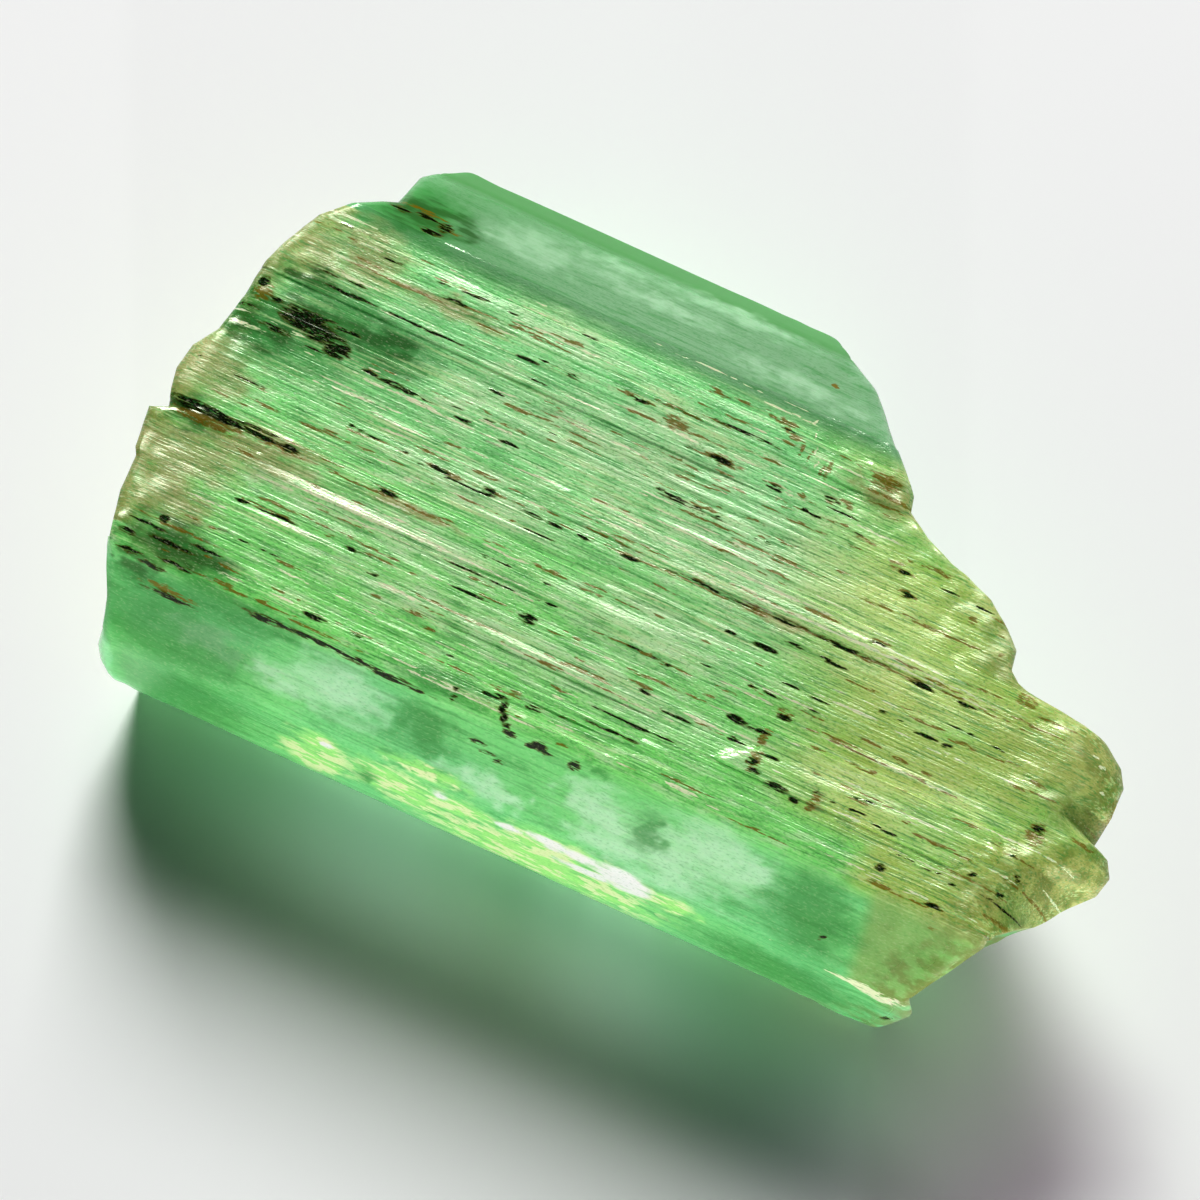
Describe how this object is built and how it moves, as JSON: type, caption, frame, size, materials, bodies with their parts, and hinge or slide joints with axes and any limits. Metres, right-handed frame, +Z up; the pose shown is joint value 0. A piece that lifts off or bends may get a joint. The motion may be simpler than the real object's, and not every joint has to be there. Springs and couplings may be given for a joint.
{
  "type": "emerald crystal",
  "caption": "Rough see-through green crystal: a flattened six-sided prism with growth lines along its top face and broken ends, lying on one flat prism face.",
  "frame": {"origin": "under the middle of the crystal's bounding box, on the prism face that it lies on", "axes": "+X along the crystal's long growth axis towards the end with the two knobs, +Y towards the smooth back bevel, +Z up"},
  "size_m": [0.012, 0.0072, 0.003],
  "materials": {
    "emerald": "glassy prism faces, striated top face, rough broken ends"
  },
  "bodies": {
    "root": {"emerald_crystal": "emerald"}
  },
  "joints": []
}
